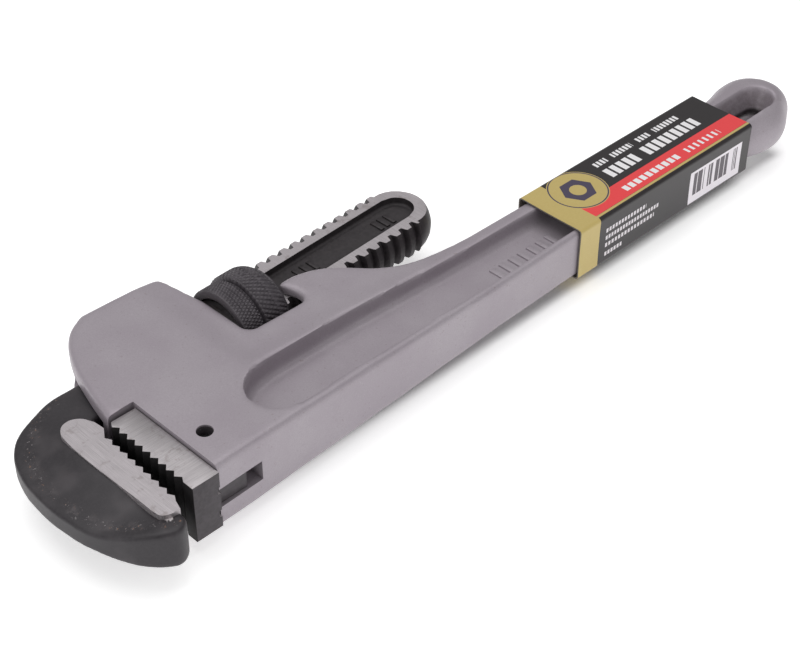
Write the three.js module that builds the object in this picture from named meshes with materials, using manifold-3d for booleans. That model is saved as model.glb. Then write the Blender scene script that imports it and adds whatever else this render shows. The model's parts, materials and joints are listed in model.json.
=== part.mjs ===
// A 14 inch pipe wrench with a cast aluminium handle, jaws closed, lying on its side.
// Millimetres. +X runs from the jaws to the hanging eye, +Y from the back of the handle
// to the threaded shank, +Z up. The layout below is drawn with x from the face the heel
// jaw sits on, y from the back edge of the head and z from the middle of the thickness.
// The last lines move the whole wrench so that the bottom centre of its box is the origin.
import * as THREE from 'three';
import { mergeVertices } from 'three/addons/utils/BufferGeometryUtils.js';
import Module from 'manifold-3d';

const wasm = await Module();
wasm.setup();

const GAP = 0.3;                      // clearance between pieces that touch

// Head of the handle
const HEAD_HALF = 11.78;              // half thickness of the head
const BAR_HALF = 9.0;                 // half thickness of the handle bar
const TAPER = { from: 12, to: 118 };  // the casting thins from the head to the bar here
const HEAD_ROUND = 1.2;               // radius of the head's outer edges
const BAR_ROUND = 1.6;
const NUT_SIDE = { x0: 31, x1: 43, y0: 22, y1: 34, step: 0.6 };  // the face steps down to the nut
const HEAD_TOP = 80.8;                // outer edge over the shank tunnel
const WINDOW_FRONT = 46.3;            // nut window, front and back walls and floor
const WINDOW_BACK = 70.4;
const WINDOW_FLOOR = 40.6;
const WINDOW_CORNER = 3.0;
const SHOULDER_X = -9.2;              // front of the head above the heel jaw
const SHOULDER_Y = 37.6;
const SEAT_ARM_END = 16.3;            // end of the slot that the heel jaw's tongue enters
const SEAT = { low: -4.4, high: 2.6 };  // the slot lies a little below the middle
const TUNNEL = { half: 6.5, floor: 41.5, roof: 75.6 };
const PIN_AT = { x: 6.8, y: 13.5, hole: 2.57 };
const ROLLED_PIN = { wall: 0.7, slitHalf: 0.35, inset: 3.4 };
const SPRING_POCKET = { x: 27, r: 3.9, bottom: 34.2 };

// Handle bar, its I-beam recess and the hanging eye
const BACK_SLOPE = 0.0271;            // back edge leans in by this much per millimetre
const BAR_END = 251;
const WEB_HALF = 3.0;
const EYE_AT = { x: 266, y: 16.6, halfWidth: 15.6 };
const EYE_DISH = { x0: 249, x1: 269, y: 14.6, r: 7.3, waist: 0.8, slot: 3.4 };

// Shank: the thread runs along an axis that leans from +X
const AXIS_ANGLE = 0.0332;
const PIVOT = { x: 56.95, y: 56.7 };  // centre of the nut, on the shank axis
const PITCH = 5.08;
const THREAD = { crest: 12.7, root: 10.8, flat: 6.0, from: -13.4, to: 70.0, phase: -0.24 };
const NUT = { length: 19.2, front: 14.0, rear: 15.0, frontLength: 8.2 };

const CHANNEL = { x0: 0, y0: -0.8, x1: 70.3, y1: 0.2, radius: 6.4, floor: 3.2 };
const ROUND_END = [                   // the shank's end as [distance along the axis, radius]
  [70.0, 11.7], [73.2, 11.5], [76.4, 10.3], [79.1, 8.1], [80.9, 5.7], [81.9, 2.8], [82.3, 0],
];
const ROOF_PIN = { x: 39, r: 1.25, slot: 2.2, low: 71.2 };
const LEAF = { x0: 3, x1: 42, y0: 68.7, y1: 70.3, bow: 2.4, thick: 1.0, half: 5.8 };
const COIL = { radius: 2.9, wire: 0.45, turns: 6, low: 34.9, high: 42.2 };

// Jaws
const HEEL = {
  half: 10.4, width: 36.3, drop: 1.1, face: -9.8,
  crest: -10.2, root: -8.7, pitch: 3.5, teeth: 9, firstCrest: 34.4,
};
const TONGUE = { depth: 10.9, notch: 2.4, notchDepth: 0.9 };
const HOOK_STRIP_HALF = 8.0;           // half thickness of the ground band beside the teeth
const HOOK_FORM = { x: -10, y: 27, wide: 26.9, long: 35, middle: 7.6, back: 3.2, toe: 6.9 };
const HOOK_TEETH = { first: 34.4, pitch: 3.74, count: 10, depth: 1.2, x: -13.0, lean: 0.0475 };

// Card sleeve
const SLEEVE = { x0: 157.6, x1: 250.5, y0: 3.2, y1: 31.0, half: 10.1, wall: 0.5, fold: 1.4 };

// From the layout's own zero to the bottom centre of the wrench's box.
const TO_ORIGIN = [-123.62, -36.44, NUT.rear];

const lerp = (a, b, t) => a + (b - a) * t;
const smooth = (a, b, v) => THREE.MathUtils.smoothstep(v, a, b);

// A closed three.js geometry as a manifold solid.
function solid(geometry) {
  const plain = geometry.index ? geometry.toNonIndexed() : geometry.clone();
  for (const name of Object.keys(plain.attributes)) {
    if (name !== 'position') plain.deleteAttribute(name);
  }
  const merged = mergeVertices(plain, 1e-4);
  return new wasm.Manifold(new wasm.Mesh({
    numProp: 3,
    vertProperties: Float32Array.from(merged.attributes.position.array),
    triVerts: Uint32Array.from(merged.index.array),
  }));
}

// A manifold solid as a named mesh.
function named(name, body, material) {
  const mesh = body.getMesh();
  const geometry = new THREE.BufferGeometry();
  geometry.setAttribute('position', new THREE.BufferAttribute(mesh.vertProperties, 3));
  geometry.setIndex(new THREE.BufferAttribute(mesh.triVerts, 1));
  geometry.computeVertexNormals();
  const node = new THREE.Mesh(geometry, material);
  node.name = name;
  return node;
}

// A flat outline stretched from z = low to z = high, with rounded rims if bevel is given.
function plate(shape, low, high, bevel = 0, segments = 2, curveSegments = 8) {
  const geometry = new THREE.ExtrudeGeometry(shape, {
    depth: high - low - 2 * bevel,
    bevelEnabled: bevel > 0,
    bevelThickness: bevel,
    bevelSize: bevel,
    bevelOffset: -bevel,
    bevelSegments: segments,
    curveSegments,
  });
  geometry.translate(0, 0, low + bevel);
  return solid(geometry);
}

function block(x0, x1, y0, y1, z0, z1) {
  const geometry = new THREE.BoxGeometry(x1 - x0, y1 - y0, z1 - z0);
  geometry.translate((x0 + x1) / 2, (y0 + y1) / 2, (z0 + z1) / 2);
  return solid(geometry);
}

function zCylinder(x, y, radius, z0, z1, sides = 24) {
  const geometry = new THREE.CylinderGeometry(radius, radius, z1 - z0, sides);
  geometry.rotateX(Math.PI / 2);
  geometry.translate(x, y, (z0 + z1) / 2);
  return solid(geometry);
}

function yCylinder(x, radius, y0, y1, sides = 20) {
  const geometry = new THREE.CylinderGeometry(radius, radius, y1 - y0, sides);
  geometry.translate(x, (y0 + y1) / 2, 0);
  return solid(geometry);
}

// Stadium outline: two half circles of one radius, joined by straight sides.
function stadium(x0, y0, x1, y1, radius) {
  const angle = Math.atan2(y1 - y0, x1 - x0);
  const shape = new THREE.Shape();
  shape.absarc(x1, y1, radius, angle - Math.PI / 2, angle + Math.PI / 2, false);
  shape.absarc(x0, y0, radius, angle + Math.PI / 2, angle + 1.5 * Math.PI, false);
  return shape;
}

// Gives a slab its local half thickness, as a share of the half thickness it was made with.
function thicken(body, made, halfThickness, edge = 9) {
  const warped = body.refineToLength(edge).warp((v) => {
    v[2] *= halfThickness(v[0], v[1]) / made;
  });
  return warped.simplify(0.02);
}

// ---------------------------------------------------------------- handle casting

// The head is full height at the front and steps down softly towards the window, the
// lug and the bar, and the bar tapers on.
function castingHalf(x, y) {
  const towardsNut = smooth(NUT_SIDE.x0, NUT_SIDE.x1, x) * smooth(NUT_SIDE.y0, NUT_SIDE.y1, y);
  const lowered = HEAD_HALF - NUT_SIDE.step * towardsNut;
  const taper = THREE.MathUtils.clamp((x - TAPER.from) / (TAPER.to - TAPER.from), 0, 1);
  return Math.min(lowered, lerp(HEAD_HALF, BAR_HALF, taper));
}

function headShape() {
  const shape = new THREE.Shape();
  shape.moveTo(0, 0);
  shape.lineTo(72, 72 * BACK_SLOPE);
  shape.lineTo(116, 12);
  shape.lineTo(124, 29.6);
  shape.splineThru([
    new THREE.Vector2(107.5, 32.6), new THREE.Vector2(98.7, 37.2), new THREE.Vector2(90.2, 45.2),
    new THREE.Vector2(84.3, 49.8), new THREE.Vector2(77.6, 52.3), new THREE.Vector2(72.2, 52.8),
  ]);
  shape.quadraticCurveTo(68.0, 53.0, 68.5, 50.6);
  shape.lineTo(WINDOW_BACK, 46.0);
  const corner = WINDOW_CORNER;
  shape.lineTo(WINDOW_BACK, WINDOW_FLOOR + corner);
  shape.absarc(WINDOW_BACK - corner, WINDOW_FLOOR + corner, corner, 0, -Math.PI / 2, true);
  shape.lineTo(WINDOW_FRONT + corner, WINDOW_FLOOR);
  shape.absarc(WINDOW_FRONT + corner, WINDOW_FLOOR + corner, corner, -Math.PI / 2, -Math.PI, true);
  shape.lineTo(46.0, 62);
  shape.lineTo(43.6, 77.0);
  shape.quadraticCurveTo(42.8, HEAD_TOP, 39.6, HEAD_TOP);
  shape.lineTo(12.9, HEAD_TOP);
  shape.bezierCurveTo(4.2, 78.2, -3.2, 66.4, SHOULDER_X, SHOULDER_Y);
  shape.lineTo(0, SHOULDER_Y);
  return shape;
}

function barShape() {
  const shape = new THREE.Shape();
  shape.moveTo(24, 24 * BACK_SLOPE);
  shape.lineTo(157, 157 * BACK_SLOPE);
  shape.lineTo(BAR_END, 4.6);
  shape.lineTo(BAR_END, 28.9);
  shape.lineTo(157, 28.8);
  shape.lineTo(131, 29.1);
  shape.lineTo(108, 31.0);
  shape.lineTo(60, 33);
  shape.lineTo(24, 33);
  return shape;
}

function eyeShape() {
  const shape = new THREE.Shape();
  shape.moveTo(238, 27.5);
  shape.lineTo(238, 6.2);
  shape.lineTo(250.5, 4.7);
  shape.splineThru([
    new THREE.Vector2(256, 2.4), new THREE.Vector2(262, 1.1), new THREE.Vector2(268.5, 1.4),
    new THREE.Vector2(277, 5.6), new THREE.Vector2(283.5, 10.8), new THREE.Vector2(285.6, 18.8),
    new THREE.Vector2(282.8, 26.2), new THREE.Vector2(276.6, 31.3), new THREE.Vector2(269, 32.2),
    new THREE.Vector2(260, 30.4), new THREE.Vector2(250.5, 28.7),
  ]);
  return shape;
}

// The eye's edge is a half round, made by drawing in the outline level by level.
function eyeBlank() {
  const levels = 10;
  const geometry = new THREE.ExtrudeGeometry(eyeShape(), {
    depth: 2, steps: levels, bevelEnabled: false, curveSegments: 4,
  });
  const position = geometry.attributes.position;
  for (let i = 0; i < position.count; i++) {
    const level = Math.sin((Math.PI / 2) * (position.getZ(i) - 1));
    const inset = 0.82 * BAR_HALF * (1 - Math.sqrt(Math.max(0, 1 - level * level)));
    const scale = 1 - inset / EYE_AT.halfWidth;
    position.setXYZ(i,
      EYE_AT.x + (position.getX(i) - EYE_AT.x) * scale,
      EYE_AT.y + (position.getY(i) - EYE_AT.y) * scale,
      level * BAR_HALF);
  }
  return solid(geometry);
}

// One dished side of the eye: the walls slope in from the rim to the waist of the slot.
function eyeDish(side) {
  const { x0, x1, y, r, waist, slot } = EYE_DISH;
  const depth = BAR_HALF + 0.6 - waist;
  const geometry = new THREE.ExtrudeGeometry(stadium(x0, y, x1, y, r), {
    depth, bevelEnabled: false, curveSegments: 8,
  });
  const position = geometry.attributes.position;
  for (let i = 0; i < position.count; i++) {
    const share = position.getZ(i) / depth;
    position.setXYZ(i,
      EYE_AT.x + (position.getX(i) - EYE_AT.x) * lerp(0.66, 1, share),
      y + (position.getY(i) - y) * lerp((slot + 0.5) / r, 1, share),
      waist + position.getZ(i));
  }
  const dish = solid(geometry);
  return side > 0 ? dish : dish.mirror([0, 0, 1]);
}

// One side of the I-beam recess, down to the web.
function recess(side) {
  const shape = new THREE.Shape();
  shape.moveTo(35.5, 5.0);
  shape.lineTo(157, 7.2);
  shape.lineTo(228, 7.6);
  shape.absarc(228, 15.2, 7.6, -Math.PI / 2, Math.PI / 2, false);
  shape.lineTo(157, 22.9);
  shape.lineTo(117, 23.9);
  shape.lineTo(75, 26.0);
  shape.lineTo(40, 26.0);
  shape.bezierCurveTo(29, 24.5, 25.4, 18.5, 25.4, 13.8);
  shape.bezierCurveTo(25.4, 8.5, 29.5, 5.0, 35.5, 5.0);
  const pocket = plate(shape, WEB_HALF, HEAD_HALF + 1, 0, 1, 5);
  return side > 0 ? pocket : pocket.mirror([0, 0, 1]);
}

function handle() {
  const slab = (shape, rounding) => plate(shape, -HEAD_HALF, HEAD_HALF, rounding, 2, 5);
  const head = thicken(slab(headShape(), HEAD_ROUND), HEAD_HALF, castingHalf);
  const bar = thicken(slab(barShape(), BAR_ROUND), HEAD_HALF, castingHalf, 22);
  let body = head.add(bar).add(eyeBlank());
  for (const side of [1, -1]) {
    body = body.subtract(recess(side)).subtract(eyeDish(side));
  }
  const cuts = [
    plate(stadium(256, EYE_DISH.y, EYE_DISH.x1 - 0.4, EYE_DISH.y, EYE_DISH.slot), -4, 4),
    block(-20, WINDOW_FRONT + 1, TUNNEL.floor, TUNNEL.roof, -TUNNEL.half, TUNNEL.half),
    block(WINDOW_BACK - 4, 100, TUNNEL.floor + 1, HEAD_TOP, -TUNNEL.half, TUNNEL.half),
    block(-1, SEAT_ARM_END, -2, SHOULDER_Y, SEAT.low, SEAT.high),
    zCylinder(PIN_AT.x, PIN_AT.y, PIN_AT.hole, -HEAD_HALF - 1, HEAD_HALF + 1),
    yCylinder(SPRING_POCKET.x, SPRING_POCKET.r, SPRING_POCKET.bottom, TUNNEL.floor + 1),
    yCylinder(ROOF_PIN.x, ROOF_PIN.r + GAP, TUNNEL.roof - 1, HEAD_TOP + 1),
  ];
  for (const cut of cuts) body = body.subtract(cut);
  return body;
}

// ---------------------------------------------------------------- heel jaw and its pin

function heelJaw() {
  const shape = new THREE.Shape();
  shape.moveTo(-GAP, -HEEL.drop);
  shape.lineTo(-GAP, HEEL.width);
  shape.lineTo(-9.0, HEEL.width);
  for (let k = 0; k < HEEL.teeth; k++) {
    shape.lineTo(HEEL.crest, HEEL.firstCrest - k * HEEL.pitch);
    shape.lineTo(HEEL.root, HEEL.firstCrest - (k + 0.5) * HEEL.pitch);
  }
  shape.lineTo(HEEL.face, HEEL.firstCrest - HEEL.teeth * HEEL.pitch);
  shape.lineTo(HEEL.face, -HEEL.drop);
  let body = plate(shape, -HEEL.half, HEEL.half);
  const [low, high] = [SEAT.low + GAP, SEAT.high - GAP];
  body = body.add(block(-1, TONGUE.depth, HEEL.drop, HEEL.width, low, high));
  for (const z0 of [low - TONGUE.notch, high]) {
    body = body.subtract(
      block(-TONGUE.notchDepth - GAP, 0, -5, HEEL.width + 5, z0, z0 + TONGUE.notch));
  }
  return body.subtract(zCylinder(PIN_AT.x, PIN_AT.y, PIN_AT.hole, -5, 5));
}

// A rolled spring pin: a tube with one slot along it.
function heelJawPin() {
  const outer = PIN_AT.hole - GAP;
  const { wall, slitHalf, inset } = ROLLED_PIN;
  const length = 2 * (HEAD_HALF - inset);
  const tube = zCylinder(0, 0, outer, -length / 2, length / 2)
    .subtract(zCylinder(0, 0, outer - wall, -length, length, 16))
    .subtract(block(0, outer + 1, -slitHalf, slitHalf, -length, length));
  return tube.translate([PIN_AT.x, PIN_AT.y, 0]);
}

// ---------------------------------------------------------------- threads

// A right-hand screw along +X through the origin, grown outwards to cut a nut's thread.
// Each row of points keeps one place on the tooth and climbs one pitch a turn.
function screw(from, to, grow = 0, sides = 24) {
  const wide = grow / PITCH;
  const tooth = [
    [0.02 + wide, THREAD.root], [0.30 - wide, THREAD.root],
    [0.44 - wide, THREAD.crest], [0.84 + wide, THREAD.crest],
  ];
  const perTurn = tooth.length;
  const firstTurn = Math.floor(from / PITCH) - 1;
  const turns = Math.ceil(to / PITCH) + 1 - firstTurn;
  const rows = (turns + 1) * perTurn;
  const points = [];
  for (let i = 0; i <= rows; i++) {
    const [share, radius] = tooth[i % perTurn];
    const start = PITCH * (firstTurn + Math.floor(i / perTurn) + share + THREAD.phase);
    for (let j = 0; j < sides; j++) {
      const angle = (2 * Math.PI * j) / sides;
      points.push(start + (PITCH * j) / sides,
        (radius + grow) * Math.cos(angle), (radius + grow) * Math.sin(angle));
    }
  }
  const at = (i, j) => (j < sides ? i * sides + j : (i + perTurn) * sides);
  const low = points.length / 3;
  const high = low + 1;
  const last = rows - perTurn;
  for (const row of [0, last]) points.push(points[3 * at(row, 0)] + PITCH / 2, 0, 0);
  const faces = [];
  for (let j = 0; j < sides; j++) {
    for (let i = 0; i < last; i++) {
      faces.push([at(i, j), at(i, j + 1), at(i + 1, j + 1)], [at(i, j), at(i + 1, j + 1), at(i + 1, j)]);
    }
    faces.push([at(0, j + 1), at(0, j), low], [at(last, j), at(last, j + 1), high]);
  }
  for (let i = 0; i < perTurn; i++) {
    faces.push([at(i, 0), at(i + 1, 0), low], [at(last + i + 1, 0), at(last + i, 0), high]);
  }
  const geometry = new THREE.BufferGeometry();
  geometry.setAttribute('position', new THREE.Float32BufferAttribute(points, 3));
  geometry.setIndex(faces.flat());
  return solid(geometry);
}

// A body of revolution about X: profile points are [x, radius].
function turned(profile, sides = 48) {
  const geometry = new THREE.LatheGeometry(profile.map(([x, r]) => new THREE.Vector2(r, x)), sides);
  geometry.rotateZ(-Math.PI / 2);
  return solid(geometry);
}

// ---------------------------------------------------------------- adjusting nut

function adjustingNut() {
  const half = NUT.length / 2;
  const step = -half + NUT.frontLength;
  const body = turned([
    [-half, 0], [-half, NUT.front - 1.0], [-half + 0.8, NUT.front],
    [step - 0.5, NUT.front], [step + 0.4, NUT.rear],
    [half - 5.4, NUT.rear], [half - 3.2, NUT.rear - 0.6], [half - 1.4, NUT.rear - 1.8],
    [half - 0.3, NUT.rear - 3.2], [half, NUT.rear - 3.8], [half, 0],
  ]);
  return body.subtract(screw(-half - 3, half + 3, GAP));
}

// ---------------------------------------------------------------- hook jaw

// The forging is thickest along the teeth and thins out to its rounded back. Its toe
// keeps more of the thickness, and its neck is as thick as the shank.
function hookHalf(x, y) {
  const form = HOOK_FORM;
  const reach = Math.hypot((x - form.x) / form.wide, (y - form.y) / form.long);
  const rim = lerp(form.toe, form.back, smooth(-8, 12, y));
  const body = lerp(form.middle, rim, THREE.MathUtils.clamp((reach - 0.5) / 0.5, 0, 1));
  return lerp(body, THREAD.flat, smooth(38.5, 43.8, y) * smooth(-24, -11, x));
}

function hookShape() {
  const { first, pitch, count, depth, x, lean } = HOOK_TEETH;
  const face = (y) => x - lean * (first - y);
  const low = first - (count - 0.9) * pitch;
  const shape = new THREE.Shape();
  shape.moveTo(-17.8, -7.4);
  shape.quadraticCurveTo(-15.6, -6.2, -15.1, -3.0);
  shape.lineTo(face(low) + 0.3, low);
  for (let k = count - 2; k >= 0; k--) {
    const root = first - k * pitch;
    shape.lineTo(face(root - pitch * 0.55) + depth, root - pitch * 0.55);
    shape.lineTo(face(root), root);
  }
  shape.lineTo(-10.6, 37.9);
  shape.lineTo(-10.0, 42.6);
  shape.quadraticCurveTo(-9.8, 45.0, -7.0, 45.1);
  shape.lineTo(44, 44.6);
  shape.lineTo(44, 68.0);
  shape.lineTo(30, 67.4);
  shape.bezierCurveTo(18, 66.6, 6, 61.8, -4, 61.3);
  shape.splineThru([
    new THREE.Vector2(-11.5, 61.3), new THREE.Vector2(-18.6, 60.7), new THREE.Vector2(-25.8, 58.2),
    new THREE.Vector2(-32.0, 52.8), new THREE.Vector2(-36.2, 44.3), new THREE.Vector2(-38.2, 33.0),
    new THREE.Vector2(-38.0, 20.5), new THREE.Vector2(-36.0, 10.0), new THREE.Vector2(-31.8, 1.6),
    new THREE.Vector2(-27.2, -3.8), new THREE.Vector2(-23.2, -6.9),
  ]);
  shape.quadraticCurveTo(-20.4, -8.7, -17.8, -7.4);
  return shape;
}

// The ground band beside the teeth, flat on both faces.
function stripShape() {
  const shape = new THREE.Shape();
  shape.moveTo(-15.4, -2.6);
  shape.lineTo(-13.9, 2.0);
  shape.lineTo(-12.2, 36.0);
  shape.lineTo(-11.4, 37.9);
  shape.lineTo(-11.0, 42.0);
  shape.bezierCurveTo(-12.0, 47.9, -21.6, 50.2, -21.6, 40.8);
  shape.lineTo(-21.4, 1.6);
  shape.quadraticCurveTo(-20.0, -2.4, -15.4, -2.6);
  return shape;
}

function shank() {
  const core = turned([
    [THREAD.from, 0], [THREAD.from, THREAD.root], [THREAD.to - 2, THREAD.root], ...ROUND_END,
  ], 32);
  const teeth = screw(THREAD.from, THREAD.to, 0).intersect(
    block(THREAD.from, THREAD.to, -20, 20, -20, 20));
  const flats = block(THREAD.from - 1, 90, -20, 20, -THREAD.flat, THREAD.flat);
  const { x0, y0, x1, y1, radius, floor } = CHANNEL;
  let body = core.add(teeth).intersect(flats);
  for (const side of [1, -1]) {
    const channel = plate(stadium(x0, y0, x1, y1, radius), floor, THREAD.flat + 1, 0, 1, 8);
    body = body.subtract(side > 0 ? channel : channel.mirror([0, 0, 1]));
  }
  return body;
}

function hookJaw() {
  const blank = thicken(plate(hookShape(), -8, 8, 1.0, 2, 4), 8, hookHalf);
  const teeth = plate(hookShape(), -HOOK_STRIP_HALF, HOOK_STRIP_HALF, 0, 1, 4);
  const strip = plate(stripShape(), -HOOK_STRIP_HALF, HOOK_STRIP_HALF);
  const toothBand = teeth.intersect(block(-17.5, -5, 0, 37.9, -9, 9));
  const stem = shank().rotate([0, 0, THREE.MathUtils.radToDeg(AXIS_ANGLE)])
    .translate([PIVOT.x, PIVOT.y, 0]);
  return blank.add(toothBand).add(strip.intersect(teeth)).add(stem);
}

// ---------------------------------------------------------------- springs

// Leaf spring between the shank and the tunnel roof, bowed towards the roof.
function flatSpring() {
  const { x0, x1, y0, y1, bow, thick, half } = LEAF;
  const shape = new THREE.Shape();
  shape.moveTo(x0, y0);
  shape.quadraticCurveTo((x0 + x1) / 2, (y0 + y1) / 2 + 2 * bow, x1, y1);
  shape.lineTo(x1, y1 + thick);
  shape.quadraticCurveTo((x0 + x1) / 2, (y0 + y1) / 2 + 2 * bow + thick, x0, y0 + thick);
  const leaf = plate(shape, -half, half, 0, 1, 10);
  return leaf.subtract(yCylinder(ROOF_PIN.x, ROOF_PIN.slot, y0 - 5, y1 + 8));
}

class Coil extends THREE.Curve {
  constructor(radius, rise, turns) {
    super();
    Object.assign(this, { radius, rise, turns });
  }

  getPoint(t, target = new THREE.Vector3()) {
    const angle = 2 * Math.PI * this.turns * t;
    return target.set(this.radius * Math.cos(angle), this.rise * t, this.radius * Math.sin(angle));
  }
}

function coilSpring() {
  const { radius, wire, turns, low, high } = COIL;
  const section = new THREE.Shape();
  section.absarc(0, 0, wire, 0, 2 * Math.PI, false);
  const geometry = new THREE.ExtrudeGeometry(section, {
    steps: turns * 14, curveSegments: 3, extrudePath: new Coil(radius, high - low, turns),
  });
  geometry.translate(SPRING_POCKET.x, low, 0);
  return solid(geometry);
}

// ---------------------------------------------------------------- card sleeve

function cardSleeve() {
  const { x0, x1, y0, y1, half, wall, fold } = SLEEVE;
  const ring = (inset) => {
    const shape = new THREE.Shape();
    const [low, high, top] = [y0 + inset, y1 - inset, half - inset];
    const corner = fold - inset;
    shape.absarc(high - corner, top - corner, corner, 0, Math.PI / 2, false);
    shape.absarc(low + corner, top - corner, corner, Math.PI / 2, Math.PI, false);
    shape.absarc(low + corner, -top + corner, corner, Math.PI, 1.5 * Math.PI, false);
    shape.absarc(high - corner, -top + corner, corner, 1.5 * Math.PI, 2 * Math.PI, false);
    return shape;
  };
  const outer = ring(0);
  outer.holes.push(ring(wall));
  const geometry = new THREE.ExtrudeGeometry(outer, {
    depth: x1 - x0, bevelEnabled: false, curveSegments: 4,
  });
  geometry.applyMatrix4(new THREE.Matrix4().makeBasis(
    new THREE.Vector3(0, 1, 0), new THREE.Vector3(0, 0, 1), new THREE.Vector3(1, 0, 0)));
  geometry.translate(x0, 0, 0);
  return solid(geometry);
}

// ---------------------------------------------------------------- assembly

const finish = (color, roughness, metalness) =>
  new THREE.MeshStandardMaterial({ color, roughness, metalness });
const paint = finish(0xa19a9d, 0.5, 0.25);
const forged = finish(0x45424a, 0.5, 0.5);
const ground = finish(0x8e8b8d, 0.4, 0.9);
const spring = finish(0x77787c, 0.35, 0.9);
const card = finish(0x2a2628, 0.55, 0.0);

const nut = named('adjusting_nut', adjustingNut(), forged);
nut.position.set(PIVOT.x, PIVOT.y, 0);
nut.rotation.z = AXIS_ANGLE;

const group = new THREE.Group();
group.add(
  named('handle', handle(), paint),
  named('heel_jaw', heelJaw(), ground),
  named('heel_jaw_pin', heelJawPin(), spring),
  named('hook_jaw', hookJaw(), forged),
  nut,
  named('flat_spring', flatSpring(), spring),
  named('flat_spring_pin', yCylinder(ROOF_PIN.x, ROOF_PIN.r, ROOF_PIN.low, HEAD_TOP - GAP), spring),
  named('coil_spring', coilSpring(), spring),
  named('card_sleeve', cardSleeve(), card),
);
for (const node of group.children) node.position.add(new THREE.Vector3(...TO_ORIGIN));

export default group;
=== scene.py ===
"""An adjustable pipe wrench lying on its side with its jaws closed, in metres."""

import json
import math

import bmesh
import bpy
from mathutils import Matrix, Quaternion, Vector

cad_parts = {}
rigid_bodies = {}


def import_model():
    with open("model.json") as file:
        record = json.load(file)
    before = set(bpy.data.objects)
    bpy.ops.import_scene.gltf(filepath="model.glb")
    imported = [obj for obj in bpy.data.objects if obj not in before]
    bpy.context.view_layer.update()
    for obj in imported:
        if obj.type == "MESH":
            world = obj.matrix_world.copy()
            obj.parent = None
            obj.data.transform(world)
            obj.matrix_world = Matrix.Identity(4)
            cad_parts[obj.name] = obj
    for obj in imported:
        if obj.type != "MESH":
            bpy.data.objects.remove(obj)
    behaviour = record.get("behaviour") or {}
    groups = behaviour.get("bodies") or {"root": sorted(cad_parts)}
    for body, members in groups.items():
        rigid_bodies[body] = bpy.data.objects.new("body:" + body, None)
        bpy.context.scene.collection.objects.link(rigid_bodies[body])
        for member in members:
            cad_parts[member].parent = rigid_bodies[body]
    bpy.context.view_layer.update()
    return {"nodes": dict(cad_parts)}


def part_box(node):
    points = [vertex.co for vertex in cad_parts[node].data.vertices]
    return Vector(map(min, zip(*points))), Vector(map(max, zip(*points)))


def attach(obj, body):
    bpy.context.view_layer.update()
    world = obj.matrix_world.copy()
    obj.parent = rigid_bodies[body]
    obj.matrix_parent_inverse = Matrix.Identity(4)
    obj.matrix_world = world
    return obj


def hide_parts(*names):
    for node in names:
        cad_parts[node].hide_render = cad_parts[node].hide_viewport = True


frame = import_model()
for cad_node in bpy.data.objects:
    cad_node.select_set(False)

# ---- The handle blank -------------------------------------------------------------
# One aluminium casting: a flat head with a window for the nut, a lug behind it, an
# I-beam grip and a dished hanging eye. It is cast in two half moulds that meet at its
# middle, so all its edges are soft. Lengths are in millimetres from the face that the
# heel jaw sits on, the back edge of the head and the middle of the thickness.
MILLIMETRE = 0.001
METRE = 1000.0
HEAD_HALF = 11.78
BAR_HALF = 9.0
WEB_HALF = 3.0
WINDOW_FRONT = 46.3
WINDOW_BACK = 70.4
WINDOW_FLOOR = 40.6
HEAD_TOP = 80.8
EYE_HALF = 7.4
EYE_X = 266
EYE_Y = 14.6
DISH_FLOOR = 0.8
NOSE = 9.2
FUNNEL_X = (240, 275.6)
FUNNEL_Y = (7.9, 21.3)
FACE_STEP = 0.7
CAST_GRAIN = 0.8
EDGE_ROUND = 1.6
TAPER_FROM = 12
TAPER_TO = 118
WELD = 0.002
OUTLINE_DETAIL = 14
ROD_SIDES = 64

handle_low, handle_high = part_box("handle")
layout_zero = Vector((
    handle_low.x + NOSE * MILLIMETRE,
    handle_low.y,
    (handle_low.z + handle_high.z) / 2,
))


def mix(low, high, share):
    return low + (high - low) * share


def ease(start, end, value):
    share = min(max((value - start) / (end - start), 0.0), 1.0)
    return share * share * (3 - 2 * share)


def pick(piece):
    """Selects one piece alone and makes it active."""
    bpy.ops.object.select_all(action="DESELECT")
    piece.select_set(True)
    bpy.context.view_layer.objects.active = piece


def finish_with(piece, kind, **settings):
    """Adds a modifier to a piece and applies it."""
    pick(piece)
    modifier = piece.modifiers.new(kind.lower(), kind)
    for setting, value in settings.items():
        setattr(modifier, setting, value)
    bpy.ops.object.modifier_apply(modifier=modifier.name)


def mend(piece):
    """Merges doubles and turns all faces outwards."""
    pick(piece)
    bpy.ops.object.mode_set(mode="EDIT")
    bpy.ops.mesh.select_all(action="SELECT")
    bpy.ops.mesh.remove_doubles(threshold=WELD)
    bpy.ops.mesh.normals_make_consistent(inside=False)
    bpy.ops.object.mode_set(mode="OBJECT")


def plate(name, knots, low, high, rounding=0.0, steps=3):
    """A plate with a drawn outline. A knot is (x, y) for a corner, or (x, y, "soft")."""
    bpy.ops.curve.primitive_bezier_circle_add(location=(0, 0, 0))
    piece = bpy.context.object
    piece.name = name
    curve = piece.data
    curve.dimensions = "2D"
    curve.fill_mode = "BOTH"
    curve.resolution_u = OUTLINE_DETAIL
    curve.splines.clear()
    line = curve.splines.new("BEZIER")
    line.bezier_points.add(len(knots) - 1)
    line.use_cyclic_u = True
    for point, knot in zip(line.bezier_points, knots):
        point.co = (knot[0], knot[1], 0)
        kind = "AUTO" if len(knot) > 2 else "VECTOR"
        point.handle_left_type = kind
        point.handle_right_type = kind
    curve.extrude = (high - low) / 2 - rounding
    curve.bevel_depth = rounding
    curve.bevel_resolution = steps
    curve.offset = -rounding
    pick(piece)
    bpy.ops.object.convert(target="MESH")
    bpy.ops.transform.translate(value=(0, 0, (low + high) / 2))
    bpy.ops.object.transform_apply(location=True, rotation=False, scale=False)
    mend(piece)
    return piece


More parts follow.
